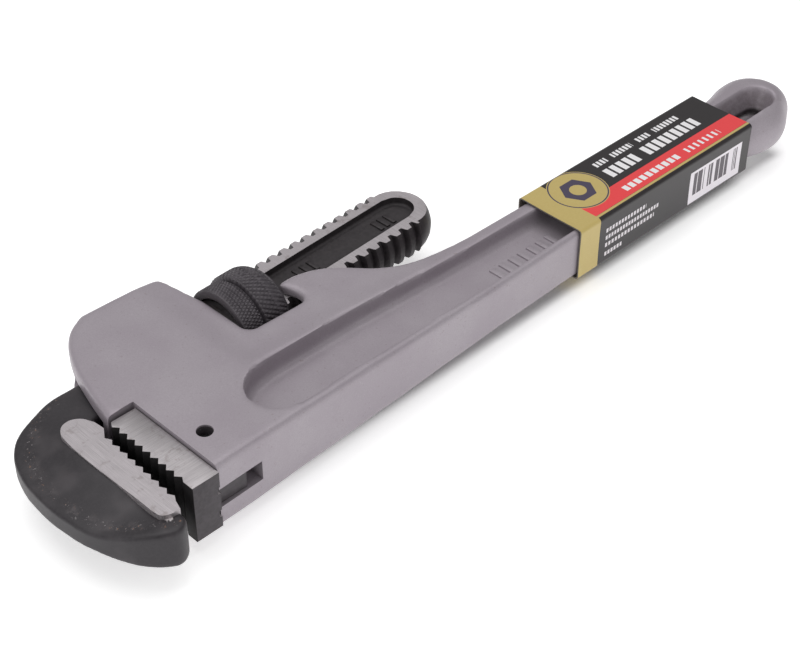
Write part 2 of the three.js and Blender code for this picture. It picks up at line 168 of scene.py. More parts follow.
def block(name, low, high):
    bpy.ops.mesh.primitive_cube_add(size=1, location=(0, 0, 0))
    piece = bpy.context.object
    piece.name = name
    piece.scale = [b - a for a, b in zip(low, high)]
    piece.location = [(a + b) / 2 for a, b in zip(low, high)]
    bpy.ops.object.transform_apply(location=True, rotation=True, scale=True)
    return piece


def rod(name, centre, radius, length, along="Z"):
    turn = {"X": (0, math.pi / 2, 0), "Y": (math.pi / 2, 0, 0), "Z": (0, 0, 0)}[along]
    bpy.ops.mesh.primitive_cylinder_add(
        vertices=ROD_SIDES, radius=radius, depth=length, location=centre, rotation=turn
    )
    piece = bpy.context.object
    piece.name = name
    bpy.ops.object.transform_apply(location=True, rotation=True, scale=True)
    return piece


def combine(piece, other, operation):
    """Joins another solid to a piece or cuts it away, and removes the other solid."""
    finish_with(piece, "BOOLEAN", object=other, operation=operation, solver="MANIFOLD",
                material_mode="TRANSFER")
    bpy.data.objects.remove(other, do_unlink=True)


def copy_across(piece):
    """A copy of a piece on the other side of the middle plane."""
    pick(piece)
    bpy.ops.object.duplicate()
    twin = bpy.context.object
    for vertex in twin.data.vertices:
        vertex.co.z = -vertex.co.z
    twin.data.flip_normals()
    return twin


def put_in_frame(piece, body, smooth_angle=30):
    """Moves a piece from layout millimetres to its place in metres, and shades it."""
    pick(piece)
    piece.data.transform(Matrix.Translation(layout_zero) @ Matrix.Scale(MILLIMETRE, 4))
    piece.data.update()
    bpy.ops.object.shade_smooth_by_angle(angle=math.radians(smooth_angle))
    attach(piece, body)


def casting_half(x):
    taper = min(max((x - TAPER_FROM) / (TAPER_TO - TAPER_FROM), 0.0), 1.0)
    return mix(HEAD_HALF, BAR_HALF, taper)


def tapered(piece):
    """Thins a head-height plate towards the grip."""
    pick(piece)
    bpy.ops.object.mode_set(mode="EDIT")
    for x in (TAPER_FROM, TAPER_TO):
        bpy.ops.mesh.select_all(action="SELECT")
        bpy.ops.mesh.bisect(plane_co=(x, 0, 0), plane_no=(1, 0, 0))
    bpy.ops.object.mode_set(mode="OBJECT")
    for vertex in piece.data.vertices:
        vertex.co.z *= casting_half(vertex.co.x) / HEAD_HALF
    return piece


blank = tapered(plate("handle_casting", [
    (-6, -0.16), (72, 1.95), (116, 12), (124, 29.6), (107.5, 32.6, "soft"),
    (98.7, 37.2, "soft"), (90.2, 45.2, "soft"), (84.3, 49.8, "soft"),
    (77.6, 52.3, "soft"), (72.2, 52.9, "soft"), (68.6, 51.9, "soft"),
    (69.2, 49.6, "soft"), (WINDOW_BACK, 46.0), (WINDOW_BACK, WINDOW_FLOOR + 2.4),
    (WINDOW_BACK - 0.8, WINDOW_FLOOR + 0.8), (WINDOW_BACK - 2.4, WINDOW_FLOOR),
    (WINDOW_FRONT + 2.6, WINDOW_FLOOR), (WINDOW_FRONT + 0.9, WINDOW_FLOOR + 0.9),
    (WINDOW_FRONT, WINDOW_FLOOR + 2.6), (46.0, 62), (43.6, 77.2),
    (42.4, 80.0, "soft"), (39.6, HEAD_TOP), (12.9, HEAD_TOP), (5.6, 76.2, "soft"),
    (-0.9, 66.4, "soft"), (-5.6, 52.6, "soft"), (-9.5, 36.4), (-6, 36.4),
], -HEAD_HALF, HEAD_HALF, rounding=EDGE_ROUND))
bar = tapered(plate("bar", [
    (24, 0.65), (157, 4.25), (251, 4.6), (251, 28.9), (157, 28.8), (131, 29.1),
    (108, 31.0), (60, 33), (24, 33),
], -HEAD_HALF, HEAD_HALF, rounding=EDGE_ROUND))
eye = plate("eye", [
    (236, 27.5), (236, 6.2), (250.5, 4.7), (256, 2.4, "soft"), (262, 1.1, "soft"),
    (268.5, 1.4, "soft"), (277, 5.6, "soft"), (283.5, 10.8, "soft"), (285.6, 18.8, "soft"),
    (282.8, 26.2, "soft"), (276.6, 31.3, "soft"), (269, 32.2, "soft"), (260, 30.4, "soft"),
    (250.5, 28.7),
], -EYE_HALF, EYE_HALF, rounding=EYE_HALF - 0.01, steps=8)
for eye_point in eye.data.vertices:
    eye_point.co.z *= BAR_HALF / EYE_HALF
combine(blank, bar, "UNION")
combine(blank, eye, "UNION")

# The grip's two recesses leave a web between its flanges, with rounded corners.
recess = plate("recess", [
    (35.5, 4.6), (157, 6.8), (228, 7.2), (235.8, 15.2, "soft"), (228, 23.1), (157, 23.2),
    (117, 24.2), (75, 26.3), (41, 26.3), (32, 24.2, "soft"), (26.3, 18.8, "soft"),
    (25.4, 12.6, "soft"), (28.6, 6.9, "soft"),
], WEB_HALF, WEB_HALF + 14, rounding=2.6, steps=4)
combine(blank, copy_across(recess), "DIFFERENCE")
combine(blank, recess, "DIFFERENCE")

# The eye is a slot with walls that open out to both faces like a funnel.
dish = plate("dish", [
    (249, 7.3), (269, 7.3), (274.2, 9.4, "soft"), (276.3, 14.6, "soft"), (274.2, 19.8, "soft"),
    (269, 21.9), (249, 21.9),
], DISH_FLOOR, BAR_HALF + 1.4)
for dish_point in dish.data.vertices:
    share = (dish_point.co.z - DISH_FLOOR) / (BAR_HALF + 0.6)
    dish_point.co.x = EYE_X + (dish_point.co.x - EYE_X) * mix(0.62, 1.0, share)
    dish_point.co.y = EYE_Y + (dish_point.co.y - EYE_Y) * mix(0.52, 1.0, share)
combine(blank, copy_across(dish), "DIFFERENCE")
combine(blank, dish, "DIFFERENCE")
combine(blank, plate("eye_slot", [
    (252, 11.2), (268.6, 11.2), (271.1, 12.2, "soft"), (272.0, 14.6, "soft"),
    (271.1, 17.0, "soft"), (268.6, 18.0), (252, 18.0),
], -4, 4), "DIFFERENCE")

# Sand casting leaves even, soft edges: the blank is rebuilt in a fine even grain and
# eased, and its face steps down softly towards the nut.
finish_with(blank, "REMESH", mode="VOXEL", voxel_size=CAST_GRAIN)
for point in blank.data.vertices:
    x, y, z = point.co
    step = FACE_STEP * ease(32, 42, x) * ease(23, 34, y)
    point.co.z = z - math.copysign(step, z) * ease(4, 9, abs(z))
finish_with(blank, "SMOOTH", factor=0.5, iterations=5)

# ---- The machined faces of the handle ---------------------------------------------
# After casting, the seat for the heel jaw is milled flat with a slot for its tongue.
# The pin's hole is drilled, and the shank's tunnel runs through the head and the lug.
SHOULDER_Y = 37.6
PIN_X = 6.8
PIN_Y = 13.5
PIN_HOLE = 2.57
combine(blank, block("seat", (-20, -20, -20), (0, SHOULDER_Y, 20)), "DIFFERENCE")
combine(blank, block("tongue_slot", (-1, -2, -4.4), (16.3, SHOULDER_Y, 2.6)), "DIFFERENCE")
combine(blank, rod("pin_hole", (PIN_X, PIN_Y, 0), PIN_HOLE, 40), "DIFFERENCE")
combine(blank, block("front_tunnel", (-20, 41.5, -6.5), (47.3, 75.6, 6.5)), "DIFFERENCE")
combine(blank, block("rear_tunnel", (66.4, 42.5, -6.5), (100, 81, 6.5)), "DIFFERENCE")
combine(blank, rod("spring_pocket", (27, 38.4, 0), 3.9, 8.4, along="Y"), "DIFFERENCE")
combine(blank, rod("roof_pin_hole", (39, 78, 0), 1.55, 8, along="Y"), "DIFFERENCE")


class Wire:
    """A shader socket that can be used in Python expressions."""

    tree = None

    def __init__(self, socket):
        self.socket = socket

    @classmethod
    def node(cls, kind, settings=None, output=0, **values):
        """Adds a node, sets it up, and links or fills its sockets by name or number."""
        made = cls.tree.nodes.new(kind)
        for setting, value in (settings or {}).items():
            setattr(made, setting, value)
        for key, value in values.items():
            if key.startswith("in_"):
                socket = made.inputs[int(key[3:])]
            else:
                socket = made.inputs[key.replace("_", " ")]
            if isinstance(value, Wire):
                cls.tree.links.new(value.socket, socket)
            else:
                socket.default_value = value
        return Wire(made.outputs[output])

    def maths(self, operation, other=0.0, flipped=False):
        pair = (other, self) if flipped else (self, other)
        return Wire.node("ShaderNodeMath", {"operation": operation}, in_0=pair[0], in_1=pair[1])

    def __add__(self, other):
        return self.maths("ADD", other)

    __radd__ = __add__

    def __sub__(self, other):
        return self.maths("SUBTRACT", other)

    def __rsub__(self, other):
        return self.maths("SUBTRACT", other, flipped=True)

    def __mul__(self, other):
        return self.maths("MULTIPLY", other)

    __rmul__ = __mul__

    def __truediv__(self, other):
        return self.maths("DIVIDE", other)

    def __gt__(self, other):
        return self.maths("GREATER_THAN", other)

    def __lt__(self, other):
        return self.maths("LESS_THAN", other)

    def between(self, low, high):
        return (self > low) * (self < high)

    def smooth_step(self, low, high):
        return Wire.node("ShaderNodeMapRange", {"interpolation_type": "SMOOTHSTEP"},
                         Value=self, From_Min=low, From_Max=high)

    def painted_over(self, below, above):
        """Mixes two colours by this mask."""
        return Wire.node("ShaderNodeMix", {"data_type": "RGBA"}, output=2,
                         in_0=self, in_6=below, in_7=above)


def srgb(red, green, blue):
    """A colour as it is read off a paint chart, as Blender's linear colour."""
    def linear(value):
        value /= 255
        return value / 12.92 if value <= 0.04045 else ((value + 0.055) / 1.055) ** 2.4
    return (linear(red), linear(green), linear(blue), 1.0)


def new_material(name):
    """An empty material whose nodes Wire adds to, and its shader."""
    material = bpy.data.materials.new(name)
    material.use_nodes = True
    Wire.tree = material.node_tree
    return material, material.node_tree.nodes["Principled BSDF"]


def millimetres():
    """Object coordinates in millimetres."""
    place = Wire.node("ShaderNodeTexCoord", output=3)
    return Wire.node("ShaderNodeVectorMath", {"operation": "SCALE"}, in_0=place, Scale=METRE)


def layout_place(place):
    """The three layout coordinates of a place, in millimetres from the layout's zero."""
    return [
        Wire.node("ShaderNodeSeparateXYZ", output=i, in_0=place) - layout_zero[i] * METRE
        for i in range(3)
    ]


def distance(across, up):
    """How far a place is from a point, from its two offsets."""
    return (across * across + up * up).maths("SQRT")


def toned(colour, share):
    """A colour made lighter or darker by a share."""
    return tuple(min(1, part * share) for part in colour[:3]) + (1,)


def grain(place, scale, detail=2.0, roughness=0.5):
    return Wire.node("ShaderNodeTexNoise", Vector=place, Scale=scale, Detail=detail,
                     Roughness=roughness)


def fit_shader(shader, colour, roughness, height=None, lift=0.00002, strength=1.0, **fixed):
    """Links what changes over a surface, and sets what doesn't on the shader itself."""
    links = Wire.tree.links
    links.new(colour.socket, shader.inputs["Base Color"])
    if isinstance(roughness, Wire):
        links.new(roughness.socket, shader.inputs["Roughness"])
    else:
        shader.inputs["Roughness"].default_value = roughness
    if height is not None:
        bump = Wire.node("ShaderNodeBump", Height=height, Distance=lift, Strength=strength)
        links.new(bump.socket, shader.inputs["Normal"])
    for name, value in fixed.items():
        shader.inputs[name.replace("_", " ")].default_value = value


def grey_paint():
    """Satin grey paint with a faint metallic grain, over a slightly uneven casting."""
    material, shader = new_material("satin_grey_paint")
    place = millimetres()
    cloud = grain(place, 0.05, 3.0)
    fine = grain(place, 2.6, 3.0, 0.6)
    speck = grain(place, 0.9, 1.0).smooth_step(0.70, 0.76)
    colour = cloud.smooth_step(0.3, 0.7).painted_over(srgb(157, 148, 156), srgb(164, 156, 163))
    colour = (fine.smooth_step(0.35, 0.75) * 0.35).painted_over(colour, srgb(138, 130, 136))
    colour = (speck * 0.30).painted_over(colour, srgb(120, 106, 100))
    # Painted shade, with some dust and thin paint, darkens the eye's funnel in mottled patches,
    # and a painted shadow makes its slot near black.
    u, v, w = layout_place(place)
    w = w.maths("ABSOLUTE")
    funnel = u.between(*FUNNEL_X) * v.between(*FUNNEL_Y) * (1 - w.smooth_step(6.5, 8.9))
    slot = funnel * (1 - w.smooth_step(0.9, 2.2))
    stain_and_shade = grain(place, 0.35, 4.0, 0.7).smooth_step(0.25, 0.75)
    colour = (funnel * (stain_and_shade * 0.35 + 0.18)).painted_over(colour, srgb(84, 72, 72))
    colour = (slot * 0.9).painted_over(colour, srgb(26, 20, 20))
    # Painted shade darkens the wall of the pin's hole.
    pin_hole = (distance(u - PIN_X, v - PIN_Y) < 2.75) * (w < 11.2)
    colour = (pin_hole * 0.8).painted_over(colour, srgb(52, 46, 48))
    sand = grain(place, 1.5, 3.0, 0.7)
    relief = fine * 0.4 + sand * 0.8 + grain(place, 0.45, 2.0) * 0.9
    colour = (sand.smooth_step(0.58, 0.72) * 0.18).painted_over(colour, srgb(196, 190, 196))
    fit_shader(shader, colour, fine * 0.12 + 0.40, relief, 0.00006, 0.5,
               Metallic=0.25, Coat_Weight=0.15, Coat_Roughness=0.35)
    return material


blank.data.materials.clear()
blank.data.materials.append(grey_paint())
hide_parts("handle")
put_in_frame(blank, "base")

# ---- Marks cast into the grip -----------------------------------------------------
# Plain upright bars stand a little proud of the web, near the sleeve on one side.
MARK_COUNT = 7
MARK_FROM = 127.0
MARK_STEP = 4.4
MARK_Y = 9.6
MARK_SUNK = 0.25
mark = plate("cast_mark", [
    (0, 0), (2.3, 0.06), (2.3, 6.2), (0, 6.14),
], 0, 0.85, rounding=0.3, steps=2)
marks = []
for mark_number in range(MARK_COUNT):
    pick(mark)
    bpy.ops.object.duplicate()
    stroke = bpy.context.object
    stroke.data.transform(Matrix.Translation(
        (MARK_FROM + mark_number * MARK_STEP, MARK_Y, WEB_HALF - MARK_SUNK)))
    marks.append(stroke)
bpy.data.objects.remove(mark, do_unlink=True)
bpy.ops.object.select_all(action="DESELECT")
for stroke in marks:
    stroke.select_set(True)
bpy.context.view_layer.objects.active = marks[0]
bpy.ops.object.join()
cast_marks = bpy.context.object
cast_marks.name = "cast_marks"
cast_marks.data.materials.append(blank.data.materials[0])
put_in_frame(cast_marks, "base")

# ---- The heel jaw -----------------------------------------------------------------
# A hardened steel jaw, ground flat on its sides and cut with straight teeth. Its edges
# are barely broken, and its ends keep the dark skin of the heat treatment.
heel_node = frame["nodes"]["heel_jaw"]
pick(heel_node)
bpy.ops.object.duplicate()
heel = bpy.context.object
heel.name = "heel_jaw_ground"
for key in list(heel.keys()):
    del heel[key]
heel.parent = None
heel.data.transform(Matrix.Scale(METRE, 4) @ Matrix.Translation(-layout_zero))
mend(heel)
bpy.ops.object.mode_set(mode="EDIT")
bpy.ops.mesh.select_all(action="SELECT")
bpy.ops.mesh.dissolve_limited(angle_limit=math.radians(1))
bpy.ops.object.mode_set(mode="OBJECT")
finish_with(heel, "BEVEL", width=0.14, segments=2, limit_method="ANGLE",
            angle_limit=math.radians(25))
finish_with(heel, "TRIANGULATE")


def ground_steel(name, tone, across):
    """Surface-ground steel: fine parallel scratches and a soft, broad shine."""
    material, shader = new_material(name)
    place = millimetres()
    stretch = (0.10, 9.0, 1.0) if across == "x" else (9.0, 0.10, 1.0)
    lines = Wire.node("ShaderNodeMapping", Vector=place, Scale=stretch)
    scratch = grain(lines, 1.0, 4.0, 0.65)
    cloud = grain(place, 0.16, 3.0)
    dark = toned(tone, 0.72)
    colour = scratch.smooth_step(0.25, 0.75).painted_over(dark, toned(tone, 1.18))
    colour = (cloud.smooth_step(0.45, 0.75) * 0.30).painted_over(colour, dark)
    smudge = grain(place, 0.22, 4.0, 0.7).smooth_step(0.56, 0.66)
    colour = (smudge * 0.30).painted_over(colour, srgb(112, 98, 92))
    fit_shader(shader, colour, scratch * 0.22 + 0.34, scratch, 0.00001, 0.30,
               Metallic=0.75)
    return material


def dark_steel(name, tone, shine=0.45):
    """Slightly mottled dark steel: heat-treated skin, and painted shade when near black."""
    material, shader = new_material(name)
    place = millimetres()
    mottle = grain(place, 0.7, 4.0, 0.6)
    colour = mottle.smooth_step(0.3, 0.7).painted_over(tone, toned(tone, 1.45))
    fit_shader(shader, colour, mottle * 0.2 + shine, mottle, 0.00002, 0.5, Metallic=0.45)
    return material


heel.data.materials.clear()
heel.data.materials.append(ground_steel("ground_heel", srgb(176, 171, 173), "x"))
heel.data.materials.append(dark_steel("heel_end_skin", srgb(66, 62, 65)))
# Near-black painted shade for the tooth walls, where shade falls between the jaws.
painted_tooth_shade = dark_steel("painted_tooth_shade", srgb(22, 20, 21), 0.55)
heel.data.materials.append(painted_tooth_shade)
# Top and bottom are ground; the tooth walls facing the hook get the painted shade.
for face in heel.data.polygons:
    if abs(face.normal.z) > 0.7:
        face.material_index = 0
    else:
        face.material_index = 2 if face.normal.x < -0.3 and face.center.x < -8 else 1
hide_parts("heel_jaw")
put_in_frame(heel, "base", 25)

# ---- The hook jaw's forging -------------------------------------------------------
# A drop-forged hook, thick along its teeth and thinner round its back, painted black.
# Knocks have chipped the paint along its outer edge.
HOOK_HALF = 8
HOOK_X = -10
HOOK_Y = 27
HOOK_WIDE = 26.9
HOOK_LONG = 35
KNOCK_X = -19.0
KNOCK_Y = -1.9
hook = plate("hook_jaw_forging", [
    (-17.8, -7.4, "soft"), (-15.8, -5.6, "soft"), (-15.1, -3.0), (-14.9, 2), (-13.6, 36.0),
    (-10.8, 37.9), (-10.2, 42.6), (-9.2, 44.7, "soft"), (-7.0, 45.1), (40, 44.7), (40, 67.8),
    (30, 67.4), (18.5, 65.6, "soft"), (7.5, 62.6, "soft"), (-4, 61.3, "soft"),
    (-11.5, 61.3, "soft"), (-18.6, 60.7, "soft"), (-25.8, 58.2, "soft"), (-32.0, 52.8, "soft"),
    (-36.2, 44.3, "soft"), (-38.2, 33.0, "soft"), (-38.0, 20.5, "soft"), (-36.0, 10.0, "soft"),
    (-31.8, 1.6, "soft"), (-27.2, -3.8, "soft"), (-23.2, -6.9, "soft"), (-20.4, -8.2, "soft"),
], -HOOK_HALF, HOOK_HALF, rounding=EDGE_ROUND)
finish_with(hook, "REMESH", mode="VOXEL", voxel_size=0.75)


def hook_half(x, y):
    """Half the forging's thickness at a place: most in its middle, least round its back."""
    reach = math.hypot((x - HOOK_X) / HOOK_WIDE, (y - HOOK_Y) / HOOK_LONG)
    rim = mix(6.9, 3.4, ease(-8, 12, y))
    body = mix(7.5, rim, min(max((reach - 0.5) / 0.5, 0.0), 1.0))
    return mix(body, 5.9, ease(38.5, 44.0, y) * ease(-24, -11, x))


for point in hook.data.vertices:
    point.co.z *= hook_half(point.co.x, point.co.y) / HOOK_HALF
finish_with(hook, "SMOOTH", factor=0.5, iterations=8)


def black_forging():
    """Black paint on a forging: satin, faintly pitted, chipped along the outer crease."""
    material, shader = new_material("black_forging_paint")
    place = millimetres()
    pits = grain(place, 1.1, 4.0, 0.6)
    cloud = grain(place, 0.09, 2.0)
    colour = pits.smooth_step(0.3, 0.75).painted_over(srgb(40, 36, 40), srgb(50, 46, 50))
    colour = (cloud.smooth_step(0.42, 0.72) * 0.55).painted_over(colour, srgb(76, 71, 74))
    hook_x, hook_y = layout_place(place)[:2]
    reach = distance((hook_x - HOOK_X) / HOOK_WIDE, (hook_y - HOOK_Y) / HOOK_LONG)
    rim = reach.smooth_step(0.84, 0.93) * (1 - reach.smooth_step(0.96, 1.02))
    rim = rim * (1 - hook_x.smooth_step(-16, -6))
    flecks = grain(place, 0.9, 4.0, 0.8).smooth_step(0.60, 0.64)
    tint = grain(place, 0.5, 1.0).smooth_step(0.52, 0.58)
    metal = tint.painted_over(srgb(128, 123, 124), srgb(132, 100, 80))
    worn = rim * grain(place, 0.25, 4.0, 0.7).smooth_step(0.45, 0.7)
    colour = (worn * 0.5).painted_over(colour, srgb(92, 86, 88))
    colour = (flecks * rim).painted_over(colour, metal)
    # One knock at the toe, beside the ground band, shows bright metal.
    knock = distance(hook_x - KNOCK_X, hook_y - KNOCK_Y) + grain(place, 0.8, 3.0) * 2.6
    knock = 1 - knock.smooth_step(2.0, 2.6)
    colour = knock.painted_over(colour, srgb(214, 208, 208))
    fit_shader(shader, colour, pits * 0.25 + 0.36, pits - flecks * rim * 0.6, 0.00005, 0.45,
               Metallic=0.15, Specular_IOR_Level=0.5)
    return material


hook.data.materials.clear()
hook.data.materials.append(black_forging())
ground_hook = ground_steel("ground_jaw_band", srgb(184, 178, 181), "y")
hook.data.materials.append(ground_hook)

# The band beside the teeth is ground flat on both faces and stands a little proud.
TOOTH_PITCH = 3.74
TOOTH_DEPTH = 1.2
FIRST_ROOT = 34.4
FACE_X = -13.0
FACE_LEAN = 0.0475
tooth_face = []
for tooth in range(9):
    root_y = FIRST_ROOT - tooth * TOOTH_PITCH
    tip_y = root_y - TOOTH_PITCH * 0.55
    tooth_face.append((FACE_X - FACE_LEAN * (FIRST_ROOT - root_y), root_y))
    tooth_face.append((FACE_X - FACE_LEAN * (FIRST_ROOT - tip_y) + TOOTH_DEPTH, tip_y))
band = plate("ground_band", [
    (-10.6, 37.9), *tooth_face, (-14.4, 0.6), (-15.4, -2.6), (-18.6, -2.3, "soft"),
    (-20.8, -0.9, "soft"), (-21.4, 1.8), (-21.6, 40.8, "soft"), (-20.4, 45.3, "soft"),
    (-17.3, 47.4, "soft"), (-13.4, 46.2, "soft"), (-11.0, 42.0),
], -HOOK_HALF, HOOK_HALF)
band.data.materials.append(ground_hook)
band.data.materials.append(painted_tooth_shade)
# The teeth's flanks on the band get the near-black painted shade.
for face in band.data.polygons:
    on_teeth = face.center.x > -17 and 0 < face.center.y < 37
    face.material_index = 1 if abs(face.normal.z) < 0.5 and on_teeth else 0
combine(hook, band, "UNION")

# ---- The threaded shank -----------------------------------------------------------
# The forging's straight end: a coarse right-hand thread cut on a bar with two flat
# sides, a long channel pressed into each flat, and a rounded end.
AXIS_LEAN = 0.0332
PIVOT = Vector((56.95, 56.7, 0))
PITCH = 5.08
CREST = 12.7
ROOT = 10.8
THREAD_FROM = -13.4
THREAD_TO = 70.0
THREAD_PHASE = -0.24
FLAT_HALF = 6.0
CHANNEL_FLOOR = 3.2
CHANNEL_END = 70.3
RIB_PLACES = (24.0, 27.2, 30.4, 60.5, 63.4, 66.3)

# One pitch of the thread, as (share of the pitch, radius), with eased corners.
THREAD_EASE = 0.2 * (CREST - ROOT)
THREAD_PROFILE = [
    (0.02, ROOT), (0.29, ROOT), (0.325, ROOT + THREAD_EASE), (0.40, CREST - THREAD_EASE),
    (0.45, CREST), (0.83, CREST), (0.88, CREST - THREAD_EASE), (0.985, ROOT + THREAD_EASE),
    (1.02, ROOT),
]
turns = math.ceil((THREAD_TO - THREAD_FROM) / PITCH) + 3
first_turn = math.floor(THREAD_FROM / PITCH) - 1
thread_points = [
    (PITCH * (first_turn + share + THREAD_PHASE), radius, 0)
    for share, radius in THREAD_PROFILE
]


def drawn_line(name, points, closed=False):
    """A wire of straight edges through the given points."""
    mesh = bpy.data.meshes.new(name)
    edges = [(i, i + 1) for i in range(len(points) - 1)]
    if closed:
        edges.append((len(points) - 1, 0))
    mesh.from_pydata(points, edges, [])
    piece = bpy.data.objects.new(name, mesh)
    bpy.context.collection.objects.link(piece)
    return piece


def spun(piece, steps):
    """Turns a wire once round the X axis and closes the surface."""
    finish_with(piece, "SCREW", axis="X", angle=2 * math.pi, screw_offset=0, steps=steps,
                render_steps=steps, use_merge_vertices=True, merge_threshold=0.001)
    mend(piece)
    return piece


shank = drawn_line("shank", thread_points)
finish_with(shank, "SCREW", axis="X", angle=2 * math.pi, screw_offset=PITCH,
            iterations=turns, steps=48, render_steps=48, use_merge_vertices=True,
            merge_threshold=0.001)
mend(shank)
bpy.ops.object.mode_set(mode="EDIT")
bpy.ops.mesh.select_all(action="DESELECT")
bpy.ops.mesh.select_non_manifold()
bpy.ops.mesh.edge_face_add()
bpy.ops.mesh.select_all(action="SELECT")
bpy.ops.mesh.normals_make_consistent(inside=False)
bpy.ops.object.mode_set(mode="OBJECT")
combine(shank, block("thread_length", (THREAD_FROM, -20, -20), (THREAD_TO, 20, 20)),
        "INTERSECT")
round_end = spun(drawn_line("round_end", [
    (60, 0, 0), (60, 9, 0), (68.2, 9.6, 0), (69.2, 11.3, 0), (70.2, 11.75, 0),
    (72.4, 11.7, 0), (74.6, 11.15, 0), (76.6, 10.2, 0), (78.6, 8.6, 0), (80.2, 6.7, 0),
    (81.4, 4.4, 0), (82.1, 2.0, 0), (82.3, 0, 0),
]), 96)
combine(shank, round_end, "UNION")
combine(shank, block("shank_flats", (-30, -20, -FLAT_HALF), (100, 20, FLAT_HALF)),
        "INTERSECT")
channel = plate("channel", [
    (0, -7.2), (CHANNEL_END, -6.2), (CHANNEL_END + 4.5, -4.2, "soft"),
    (CHANNEL_END + 6.4, 0.2, "soft"), (CHANNEL_END + 4.5, 4.7, "soft"),
    (CHANNEL_END, 6.6), (0, 5.6),
], CHANNEL_FLOOR, CHANNEL_FLOOR + 8, rounding=0.9)
combine(shank, copy_across(channel), "DIFFERENCE")
combine(shank, channel, "DIFFERENCE")

# Plain bars stand up from the channel's floor, behind the nut and near the round end.
for bar_x in RIB_PLACES:
    rib = plate("channel_mark", [(0, 0), (1.5, 0), (1.5, 5.4), (0, 5.4)], 3.0, 3.75,
                rounding=0.25, steps=1)
    rib.data.transform(Matrix.Translation((bar_x, -2.7, 0)))
    combine(shank, rib, "UNION")
shank.data.transform(
    Matrix.Translation(PIVOT) @ Matrix.Rotation(AXIS_LEAN, 4, "Z"))
shank_black = dark_steel("shank_skin", srgb(50, 46, 48), 0.40)
shank.data.materials.clear()
shank.data.materials.append(shank_black)
shank.data.materials.append(ground_hook)
for face in shank.data.polygons:
    on_flat = abs(face.normal.z) > 0.9 and abs(face.center.z) > FLAT_HALF - 0.05
    face.material_index = 1 if on_flat else 0
combine(hook, shank, "UNION")
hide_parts("hook_jaw")
put_in_frame(hook, "hook", 32)

# ---- The adjusting nut ------------------------------------------------------------
# A turned steel nut with a fine crossed knurl in front and a coarse slanting knurl
# behind, blackened all over. It turns in the head's window and draws the jaw in.
NUT_HALF = 9.6
NUT_FRONT = 14.0
NUT_REAR = 15.0
NUT_STEP = -1.4
KNURLS = 72
SLANTS = 54
NUT_SIDES = 432
DOME_LONG = 5.0
DOME_DEEP = 3.9
KNURL_DEPTH = 0.32
KNURL_SLOPE = 2.1
SLANT_DEPTH = 0.45
SLANT_SLOPE = 2.6
CROSS_SLOPE = 1.9
THREAD_GAP = 0.32
outer = [(-NUT_HALF, 13.2), (-NUT_HALF + 0.25, 13.7), (-NUT_HALF + 0.7, NUT_FRONT)]
outer += [(-NUT_HALF + 0.7 + 0.3 * i, NUT_FRONT) for i in range(1, 23)]
outer += [(NUT_STEP - 0.45, NUT_FRONT - 0.7), (NUT_STEP - 0.1, NUT_FRONT - 0.7),
          (NUT_STEP + 0.2, NUT_REAR - 0.3)]
outer += [(NUT_STEP + 0.5 + 0.32 * i, NUT_REAR) for i in range(0, 17)]
for i in range(1, 15):
    turn_round = math.radians(90 * i / 15)
    outer.append((NUT_HALF - DOME_LONG + DOME_LONG * math.sin(turn_round),
                  NUT_REAR - DOME_DEEP + DOME_DEEP * math.cos(turn_round)))
outer.append((NUT_HALF, 11.6))
bore = [(NUT_HALF - 0.42 * i, 11.2) for i in range(1, 46)]
nut = spun(drawn_line("knurled_nut", [(x, r, 0) for x, r in outer + bore], closed=True),
           NUT_SIDES)


def ridge(value):
    """A row of sharp grooves: 0 in each groove and 1 on the lands between them."""
    share = abs((value % 1.0) - 0.5) * 2
    return ease(0.0, 0.55, 1 - share)


def nut_thread(x, turn):
    """The radius of the nut's thread at a place in its bore."""
    share = (x / PITCH - turn - THREAD_PHASE) % 1.0
    return (CREST if 0.36 < share < 0.92 else ROOT) + THREAD_GAP


for point in nut.data.vertices:
    x, y, z = point.co
    radius = math.hypot(y, z)
    turn = math.atan2(z, y) / (2 * math.pi)
    if radius > 12.4 or x > NUT_HALF - 2.5 and radius > 11.5:
        cut = 0.0
        if x < NUT_STEP - 0.6:
            fade = ease(-NUT_HALF + 0.2, -NUT_HALF + 1.0, x)
            lands = min(ridge(turn * KNURLS + x / KNURL_SLOPE),
                        ridge(turn * KNURLS - x / KNURL_SLOPE))
            cut = KNURL_DEPTH * fade * (1 - lands)
        elif x > NUT_STEP + 0.3:
            fade = 1 - ease(NUT_HALF - 2.0, NUT_HALF - 0.4, x)
            lands = min(ridge(turn * SLANTS - x / SLANT_SLOPE),
                        0.45 + ridge(turn * SLANTS + x / CROSS_SLOPE))
            cut = SLANT_DEPTH * fade * (1 - lands)
        target = radius - cut
    elif abs(x) < NUT_HALF - 0.3:
        target = nut_thread(x, turn)
    else:
        target = radius
    point.co.y *= target / radius
    point.co.z *= target / radius


def blackened_steel():
    """Blackened steel, a little brighter where the knurl's lands are handled."""
    material, shader = new_material("blackened_nut")
    place = millimetres()
    mottle = grain(place, 0.5, 4.0, 0.6)
    edges = Wire.node("ShaderNodeNewGeometry", output=7).smooth_step(0.50, 0.60)
    colour = mottle.smooth_step(0.3, 0.7).painted_over(srgb(64, 59, 64), srgb(80, 75, 80))
    colour = (edges * 0.45).painted_over(colour, srgb(112, 108, 110))
    fit_shader(shader, colour, mottle * 0.2 + 0.36, mottle, 0.00002, 0.4, Metallic=0.4)
    return material


nut.data.transform(Matrix.Translation(PIVOT) @ Matrix.Rotation(AXIS_LEAN, 4, "Z"))
nut.data.materials.append(blackened_steel())
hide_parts("adjusting_nut")
put_in_frame(nut, "nut", 40)
